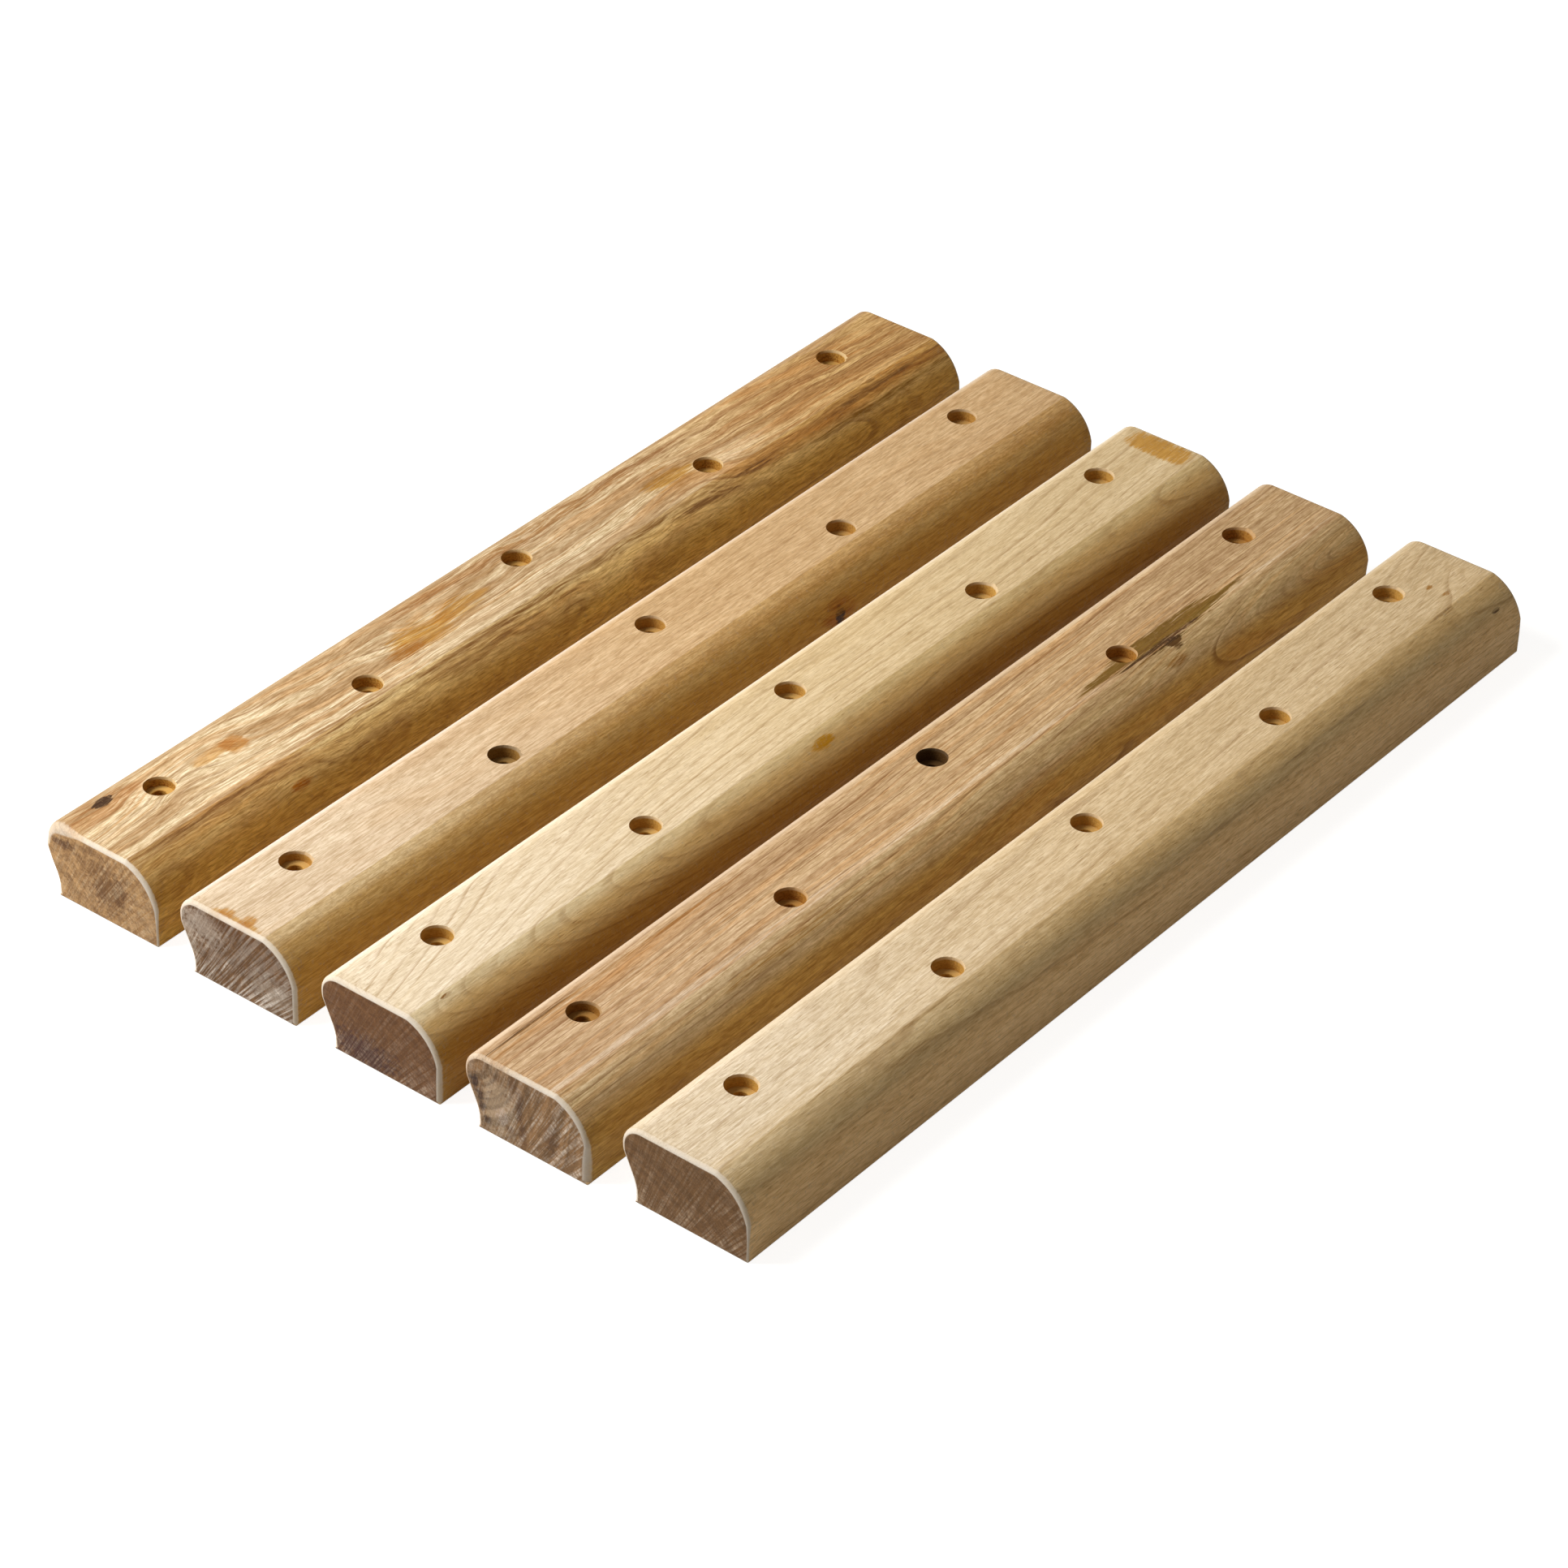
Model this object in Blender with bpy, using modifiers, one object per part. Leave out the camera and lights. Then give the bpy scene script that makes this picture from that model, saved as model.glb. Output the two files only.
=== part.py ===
"""A set of five wooden campus rungs, laid side by side on their flat backs.

Metres, +Z up. The rungs run along Y, the row of them along X. The origin is on the ground under the middle of the set.
Each rung has a rounded nose and an incut side towards -X, a large round shoulder towards +X, and five screw holes.
"""

from math import acos, atan2, cos, hypot, pi, radians, sin

import bmesh
import bpy
from mathutils import Matrix

# The bar
LENGTH = 0.460
WIDTH = 0.053
HEIGHT = 0.030
END_EASE = 0.0018
BACK_EASE = 0.0007

# The nose and the incut side under it, which a cove brings upright just above the back
NOSE_RADIUS = 0.008
INCUT = 0.0060
COVE_RADIUS = 0.021
FOOT_HEIGHT = 0.0027

# The round shoulder, which meets the top and the upright side at slight creases
SHOULDER_RADIUS = 0.0195
TOP_CREASE = radians(14)
SIDE_CREASE = radians(12)

# The screw holes: three in a row near the nose, and two between them, a step towards the shoulder
END_HOLE_INSET = 0.0395
HOLE_SPACING = 0.0935
NOSE_ROW_INSET = 0.0173
ROW_STEP = 0.0130
SCREW_HOLE_DIAMETER = 0.0055
COUNTERBORE_DIAMETER = 0.0110
COUNTERBORE_DEPTH = 0.0050

# The set: the gap between neighbours, and how each rung was laid down.
# For each rung: metres off its even place across and along the row, and degrees turned.
RUNG_GAP = 0.0114
LAID = (
    (0.0000, 0.0000, 0.22),
    (0.0009, -0.0016, 0.13),
    (0.0012, -0.0017, -0.02),
    (0.0003, -0.0018, -0.06),
    (0.0000, 0.0018, -0.27),
)
WOOD_COLOURS = (
    (0.60, 0.38, 0.17),
    (0.62, 0.43, 0.23),
    (0.66, 0.48, 0.27),
    (0.56, 0.36, 0.19),
    (0.62, 0.46, 0.27),
)
WOOD_ROUGHNESS = 0.55

# Facets
NOSE_STEPS = 8
COVE_STEPS = 4
SHOULDER_STEPS = 8
EASE_SEGMENTS = 3
HOLE_SIDES = 24
CUTTER_OVERRUN = 0.002
WELD_DISTANCE = 1e-6
FLAT_ANGLE = radians(0.5)
SMOOTH_ANGLE = radians(35)


def arc(centre, radius, start, end, steps):
    """Points on an arc, both ends included. Angles are anticlockwise from +X."""
    turns = (start + (end - start) * step / steps for step in range(steps + 1))
    return [(centre[0] + radius * cos(turn), centre[1] + radius * sin(turn)) for turn in turns]


def incut_side(nose_x):
    """The nose's arc, and the cove's arc the other way, with a straight flank tangent to both between them."""
    nose_centre = (nose_x + NOSE_RADIUS, HEIGHT - NOSE_RADIUS)
    drop = nose_centre[1] - FOOT_HEIGHT
    widest_cove = (drop**2 + INCUT**2) / (2 * INCUT) - NOSE_RADIUS
    cove_radius = min(COVE_RADIUS, widest_cove)
    radii = NOSE_RADIUS + cove_radius
    centres_apart = hypot(radii - INCUT, drop)
    flank_angle = atan2(drop, radii - INCUT) - acos(min(1.0, radii / centres_apart))
    cove_centre = (nose_x + INCUT - cove_radius, FOOT_HEIGHT)
    nose = arc(nose_centre, NOSE_RADIUS, pi / 2, pi + flank_angle, NOSE_STEPS)
    cove = arc(cove_centre, cove_radius, flank_angle, 0.0, COVE_STEPS)
    return nose + cove


def section_points():
    """The rung's section, across and up, anticlockwise from the back's corner on the incut side."""
    nose_x, wall_x = -WIDTH / 2, WIDTH / 2
    shoulder_x = wall_x - SHOULDER_RADIUS * cos(SIDE_CREASE)
    shoulder_z = HEIGHT - SHOULDER_RADIUS * cos(TOP_CREASE)
    back = [(nose_x + INCUT, 0.0), (wall_x, 0.0)]
    shoulder = arc((shoulder_x, shoulder_z), SHOULDER_RADIUS, SIDE_CREASE, pi / 2 - TOP_CREASE, SHOULDER_STEPS)
    return back + shoulder + incut_side(nose_x)


def link_new(collection, name, data):
    """A new object holding data, in the collection."""
    made = bpy.data.objects.new(name, data)
    collection.objects.link(made)
    return made


def bar_mesh(name):
    """The section extruded along Y, as one closed mesh that stands on its back."""
    outline = bpy.data.curves.new(name, "CURVE")
    outline.dimensions = "2D"
    outline.fill_mode = "BOTH"
    outline.extrude = LENGTH / 2
    points = section_points()
    spline = outline.splines.new("POLY")
    spline.points.add(len(points) - 1)
    for point, (across, up) in zip(spline.points, points):
        point.co = (across, up, 0.0, 1.0)
    spline.use_cyclic_u = True
    guide = link_new(bpy.context.scene.collection, name, outline)
    mesh = bpy.data.meshes.new_from_object(guide.evaluated_get(bpy.context.evaluated_depsgraph_get()))
    mesh.transform(Matrix.Rotation(pi / 2, 4, "X"))
    bpy.data.objects.remove(guide)
    bpy.data.curves.remove(outline)
    weld(mesh)
    return mesh


def weld(mesh):
    """Joins the caps of an extruded outline to its sides, and makes each cap one face."""
    work = bmesh.new()
    work.from_mesh(mesh)
    bmesh.ops.remove_doubles(work, verts=work.verts, dist=WELD_DISTANCE)
    bmesh.ops.dissolve_limit(work, angle_limit=FLAT_ANGLE, verts=work.verts, edges=work.edges)
    bmesh.ops.recalc_face_normals(work, faces=work.faces)
    work.to_mesh(mesh)
    work.free()


def mark_eased_edges(mesh):
    """Gives the edges round both ends the full ease, and all edges of the back a slight one."""
    weights = mesh.attributes.new("bevel_weight_edge", "FLOAT", "EDGE")
    widest = max(END_EASE, BACK_EASE)
    for edge in mesh.edges:
        first, second = (mesh.vertices[index].co for index in edge.vertices)
        at_one_end = abs(first.y - second.y) < WELD_DISTANCE
        on_back = max(first.z, second.z) < WELD_DISTANCE
        if on_back:
            weights.data[edge.index].value = BACK_EASE / widest
        elif at_one_end:
            weights.data[edge.index].value = END_EASE / widest


def hole_places():
    """The middles of the five screw holes, across and along a rung."""
    nose_row = -WIDTH / 2 + NOSE_ROW_INSET
    second_row = nose_row + ROW_STEP
    end_hole = LENGTH / 2 - END_HOLE_INSET
    between = end_hole - HOLE_SPACING
    in_nose_row = [(nose_row, along) for along in (-end_hole, 0.0, end_hole)]
    in_second_row = [(second_row, along) for along in (-between, between)]
    return in_nose_row + in_second_row


def drill(rung, cutters, name, diameter, bottom, top):
    """Cuts a round hole of one diameter at each hole place, from bottom to top."""
    mesh = bpy.data.meshes.new(name)
    work = bmesh.new()
    for across, along in hole_places():
        bmesh.ops.create_cone(
            work,
            cap_ends=True,
            segments=HOLE_SIDES,
            radius1=diameter / 2,
            radius2=diameter / 2,
            depth=top - bottom,
            matrix=Matrix.Translation((across, along, (top + bottom) / 2)),
        )
    work.to_mesh(mesh)
    work.free()
    cutter = link_new(cutters, f"{rung.name}_{name}", mesh)
    cutter.parent = rung
    cutter.hide_render = True
    cutter.display_type = "WIRE"
    cut = rung.modifiers.new(name, "BOOLEAN")
    cut.operation = "DIFFERENCE"
    cut.solver = "EXACT"
    cut.object = cutter


def ease_edges(rung):
    """Sands the marked edges round."""
    ease = rung.modifiers.new("eased_edges", "BEVEL")
    ease.limit_method = "WEIGHT"
    ease.width = max(END_EASE, BACK_EASE)
    ease.segments = EASE_SEGMENTS
    ease.use_clamp_overlap = False


def wood(name, colour):
    """Bare sanded hardwood."""
    material = bpy.data.materials.new(name)
    material.use_nodes = True
    shader = material.node_tree.nodes["Principled BSDF"]
    shader.inputs["Base Color"].default_value = (*colour, 1.0)
    shader.inputs["Roughness"].default_value = WOOD_ROUGHNESS
    shader.inputs["Metallic"].default_value = 0.0
    material.diffuse_color = (*colour, 1.0)
    return material


def make_rung(number, parts, cutters):
    """One rung of the set, where it lies."""
    name = f"rung_{number + 1}"
    mesh = bar_mesh(name)
    mark_eased_edges(mesh)
    mesh.shade_smooth()
    mesh.set_sharp_from_angle(angle=SMOOTH_ANGLE)
    mesh.materials.append(wood(f"{name}_wood", WOOD_COLOURS[number]))
    rung = link_new(parts, name, mesh)
    off_across, off_along, turned = LAID[number]
    place = number - (len(LAID) - 1) / 2
    rung.location = (place * (WIDTH + RUNG_GAP) + off_across, off_along, 0.0)
    rung.rotation_euler.z = radians(turned)
    ease_edges(rung)
    drill(rung, cutters, "screw_holes", SCREW_HOLE_DIAMETER, -CUTTER_OVERRUN, HEIGHT + CUTTER_OVERRUN)
    drill(rung, cutters, "counterbores", COUNTERBORE_DIAMETER, HEIGHT - COUNTERBORE_DEPTH, HEIGHT + CUTTER_OVERRUN)


def main():
    for old in list(bpy.data.objects):
        bpy.data.objects.remove(old)
    parts = bpy.data.collections.new("campus_rung_set")
    cutters = bpy.data.collections.new("cutters")
    for collection in (parts, cutters):
        bpy.context.scene.collection.children.link(collection)
    for number in range(len(LAID)):
        make_rung(number, parts, cutters)


main()
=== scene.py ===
"""Five wooden campus rungs on a white ground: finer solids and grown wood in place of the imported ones.

Metres, +Z up. A rung's own frame has +Y along it, the incut nose towards -X and the flat back at z = 0.
Sizes inside the wood's shaders are millimetres in that same frame.
"""

from math import acos, atan2, cos, hypot, pi, radians, sin, sqrt

import bmesh
import bpy
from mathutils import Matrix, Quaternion, Vector, noise


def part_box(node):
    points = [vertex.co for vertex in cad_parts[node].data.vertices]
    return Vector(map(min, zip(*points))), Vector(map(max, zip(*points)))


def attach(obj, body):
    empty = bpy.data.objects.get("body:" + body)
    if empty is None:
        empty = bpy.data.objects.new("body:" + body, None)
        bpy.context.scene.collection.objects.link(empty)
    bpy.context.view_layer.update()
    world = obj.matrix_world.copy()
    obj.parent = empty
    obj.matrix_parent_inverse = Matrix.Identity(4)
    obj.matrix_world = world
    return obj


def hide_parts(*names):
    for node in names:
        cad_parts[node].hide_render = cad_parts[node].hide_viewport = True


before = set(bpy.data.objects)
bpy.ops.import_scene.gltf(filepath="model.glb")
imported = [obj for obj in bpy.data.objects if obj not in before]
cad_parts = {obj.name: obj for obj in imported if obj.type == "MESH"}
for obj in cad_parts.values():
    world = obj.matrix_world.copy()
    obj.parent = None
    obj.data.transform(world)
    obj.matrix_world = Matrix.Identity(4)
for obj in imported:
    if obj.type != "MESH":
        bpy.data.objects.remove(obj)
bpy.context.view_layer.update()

MILLIMETRES = 1000.0

# The camera, at the photograph's view
LOOK_AT = Vector((0.02605, -0.04845, 0.030))
AZIMUTH = radians(36.908)
ELEVATION = radians(35.495)
ROLL = radians(2.219)
DISTANCE = 1.820
LENS = 120.0
SENSOR = 36.0

# The light and the ground
AMBIENT = 0.22
AMBIENT_COLOUR = (1.0, 0.88, 0.72)
KEY_PLACE = (-0.80, -0.62, 0.98)
KEY_AIM = (0.0, -0.10, 0.0)
KEY_SIZE = 0.70
KEY_SPREAD = radians(100)
KEY_POWER = 8.6
WHITE = (1.0, 1.0, 1.0, 1.0)
FLOOR_COLOUR = 0.45
FLOOR_WHITE = 0.87
FLOOR_SIZE = 8.0
FLOOR_GAP = 0.0001

# The bar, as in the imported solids
LENGTH = 0.460
WIDTH = 0.053
HEIGHT = 0.030
END_EASE = 0.0018
BACK_EASE = 0.0007
NOSE_RADIUS = 0.008
INCUT = 0.0060
COVE_RADIUS = 0.021
FOOT_HEIGHT = 0.0027
SHOULDER_RADIUS = 0.0195
TOP_CREASE = radians(14)
SIDE_CREASE = radians(12)

# How the sanding of the ends changes round the outline
EASE_FADE = 0.012
CORNER_START = 0.008
BACK_SHARE = 0.9
BACK_TURN = 0.9

# The screw holes
END_HOLE_INSET = 0.0395
HOLE_SPACING = 0.0935
NOSE_ROW_INSET = 0.0173
ROW_STEP = 0.0130
SCREW_HOLE_RADIUS = 0.00275
COUNTERBORE_RADIUS = 0.0055
COUNTERBORE_DEPTH = 0.0050
FLOOR_CHAMFER = 0.0002
CUTTER_OVERRUN = 0.001

# The torn rim of a hole: (depth below the top, how much wider than the counterbore, share of the tearing)
TORN_RIM = (
    (0.0022, 0.0, 0.0),
    (0.0012, 0.0, 0.3),
    (0.0004, 0.00005, 0.75),
    (-0.0002, 0.0003, 1.1),
    (-0.0010, 0.0012, 1.2),
)
TORN_REACH = 0.001
TORN_SIDE = 0.9
TORN_ALL_ROUND = 0.12
TORN_ROUGHNESS = 0.8
TORN_LUMPS = 4
HOLE_SEED_STEP = 0.37
RIM_SEED_STEP = 5.0

# Fineness of the surfaces
ARC_STEP = radians(7)
LONGEST_STEP = 0.0020
CRISP_STEP = 0.00018
LEAST_STEP = 0.1 * CRISP_STEP
ROW_STEP_ALONG = 0.0080
EASE_STEPS = 8
HOLE_SIDES = 72
SMOOTH_ANGLE = radians(32)
SANDING_DEPTH = 0.00008
SANDING_WAVE = 0.045
SANDING_SEED_STEP = 7.0

# Growth: how wide the rings' wandering and crowding are, how many rings the crowding adds,
# how long and wide a piece of a ring's line is, and how many rings go to a belt on the sawn end
DRIFT_WIDTH = 42.0
CROWD_WIDTH = 7.0
CROWDING = 2.6
LINE_LENGTH = 30.0
LINE_WIDTH = 10.0
BELT_RINGS = 1.6

# Detail and roughness of the textures that follow the growth
DRIFT_DETAIL = (2.0, 0.45)
STREAK_DETAIL = (4.0, 0.68)
GAP_DETAIL = (2.0, 0.6)
BELT_DETAIL = (2.0, 0.6)

# Textures: (lumps to a mm across, along and up), detail, roughness
PORES = ((2.1, 0.16, 2.1), 1.0, 0.5)
PORE_CROWDS = ((0.12, 0.01, 0.12), 2.0, 0.5)
END_MOTTLE = ((0.16, 0.0, 0.16), 4.0, 0.65)
END_GRAINS = ((1.3, 0.0, 1.3), 4.0, 0.75)
RIM_FRAYS = ((0.7, 0.7, 0.7), 3.0, 0.6)
DRILL_RINGS = ((0.20, 0.20, 3.5), 2.0, 0.6)
CUT_FIBRES = ((1.6, 0.4, 1.6), 3.0, 0.6)

# Frayed edges: the same three, and how far an edge strays
MARK_FRAYS = ((0.85, 0.040, 0.85), 4.0, 0.7, 3.4)
STAIN_FRAYS = ((0.80, 0.085, 0.80), 4.0, 0.75, 6.0)
END_FRAYS = ((0.45, 0.0, 0.45), 4.0, 0.7, 4.4)

# Patches: the same three, and the two values of the texture between which a patch fades in
COARSE_FIBRES = ((0.60, 0.012, 0.60), 3.0, 0.65, 0.28, 0.72)
MEDIUM_FIBRES = ((1.2, 0.070, 1.2), 2.0, 0.6, 0.32, 0.68)
FINE_FIBRES = ((2.1, 0.20, 2.1), 2.0, 0.6, 0.34, 0.66)
FLECKS = ((1.1, 0.42, 1.1), 2.0, 0.6, 0.50, 0.62)
THREADS = ((1.5, 0.070, 1.5), 3.0, 0.65, 0.34, 0.56)
END_BLOTCHES = ((0.30, 0.0, 0.30), 5.0, 0.72, 0.42, 0.58)
RIM_PATCHES = ((0.16, 0.16, 0.16), 3.0, 0.6, 0.36, 0.60)

# Streaks that follow the rings: lumps to a ring, length and width in mm, offset, and where they fade in
BANDS = (0.42, 210, 30, 0.0, 0.41, 0.59)
WARMTH = (0.80, 130, 18, 17.0, 0.50, 0.63)
NARROW = (2.6, 80, 6, 31.0, 0.49, 0.62)

# Rays of the sawn ends: how many to a mm round the pith, and their length. Dots on them, and the marks' depth
LONG_RAYS = (0.80, 34.0)
SHORT_RAYS = (1.5, 14.0)
DOTS_TO_A_MM = 0.5
END_MARK_DEPTH = 9.0

# Where things fade in, and out again, by how far the surface faces across, up or along
CALM_TURN = (0.40, 0.70)
FLECK_SPAN = ((0.10, 0.30), (0.88, 0.60))
TOP_SPAN = ((-0.8, -0.3), (0.75, 0.45))
NOSE_ACROSS = (-0.10, -0.55)
NOSE_UP = (0.35, 0.70)
SCORCH_SPAN = ((0.02, 0.12), (0.30, 0.14))
RIM_EDGE = (0.12, 0.45)
RIM_INNER_EDGE = (0.5, 0.95)
END_EDGE = (0.965, 0.998)
FLOOR_UP = (0.80, 0.95)
LIP_ALONG = (0.1, -0.6)

# Where things fade in, and out again, by other values
LINE_SPAN = ((0.66, 0.93), (1.0, 0.94))
LINE_GAPS = (0.30, 0.58)
PORE_EDGE = (0.82, 0.90)
STREAK_THREADS = (0.40, 0.56)
MARK_EDGE = (1.25, 0.55)
STAIN_EDGE = (2.4, 0.2)
END_MARK_EDGE = (1.5, 0.4)
RAY_EDGE = (0.50, 0.60)
DOT_EDGE = (0.42, 0.60)
HAZE_EDGE = (0.3, 1.6)
BELT_EDGE = (0.40, 0.60)
RIM_LOST_SPAN = (2.0, -12.0)
CUT_EDGE = (0.34, 0.62)
LIP_HEIGHTS = (28.6, 29.2)
BURNT_REACH = (9.0, 7.0)

# How much each of these counts
FAINTEST_LINE = 0.2
LINE_DEPTH = 0.3
CROWD_SHARE = 0.30
MEDIUM_SHARE = 0.9
FINE_SHARE = 1.3
FIBRE_WARMTH = (0.8, 1.0, 1.35)
MEDIUM_HEIGHT = 0.4
FINE_HEIGHT = 0.6
NARROW_SHARE = 0.8
LEAST_FIBROUS = 0.30
LEAST_SOAKED = 0.65
SOAK = 0.7
PALE_SHARE = 0.7
LONG_RAY_SHARE = 0.65
SHORT_RAY_SHARE = 0.45
LEAST_RAYS = 0.25
BLOTCH_WARMTH = 0.6
HAZE_WARMTH = 0.5
HAZE_SPAN = 22.0
HAZE_MOTTLE = 2.4
END_SHADE = 0.30
GRAIN_SHADE = 1.4
SCORCH_SHARE = 0.40
RIM_SHARE = 0.75
RIM_PATCH_SHARE = 0.2
RIM_FRAYING = 0.5
DRILL_SHARE = 0.35
CUT_SHARE = 0.65
FIBRE_SHINE = -0.15

# Colours that all rungs share
RIM_COLOUR = (0.67, 0.58, 0.46)
RIM_INNER_COLOUR = (0.74, 0.66, 0.56)
SCORCH_TINT = (0.65, 0.65, 0.65)
LINE_TINT = (0.62, 0.48, 0.34)
BORED_TINT = (0.72, 0.49, 0.16)
BORED_FLOOR_TINT = (0.72, 0.53, 0.23)
LIP_TINT = (0.88, 0.78, 0.62)
CHARRED_COLOUR = (0.030, 0.014, 0.006)

# How the surfaces shine, and how far their texture stands up
WOOD_SPECULAR = 0.12
WOOD_ROUGHNESS = 0.64
WOOD_BUMP = (0.4, 0.0001)
BORED_SPECULAR = 0.08
BORED_ROUGHNESS = 0.7
BORED_BUMP = (0.8, 0.0003)


class Look:
    """How one rung was laid down and sanded, how its wood grew, what marks it, and the light and shade
    painted on it.

    crease_radius, foot_ease, corner_ease and lifted, of the holes' floors, are metres. Other lengths are mm.
    The pith line's place is (across, up), and its lean is by how much that place changes for each mm along.
    """

    stains = ()
    end_marks = ()
    lifted = (0.0, 0.0, 0.0, 0.0, 0.0)
    far_painted_shade_span = (-220.0, 40.0)
    long_fibres = 0.3
    fibre_drift = 0.3
    dotted = 0.6
    belt_strength = 0.2
    crease_radius = 0.0030
    foot_ease = 0.0008
    corner_ease = 0.0
    calm_shoulder = 0.6
    rim_lost = 0.15
    end_warm = (0.36, 0.20, 0.09)
    burnt = ()

    def __init__(self, **values):
        self.ray_pith = values["pith"]
        self.__dict__.update(values)
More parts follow.
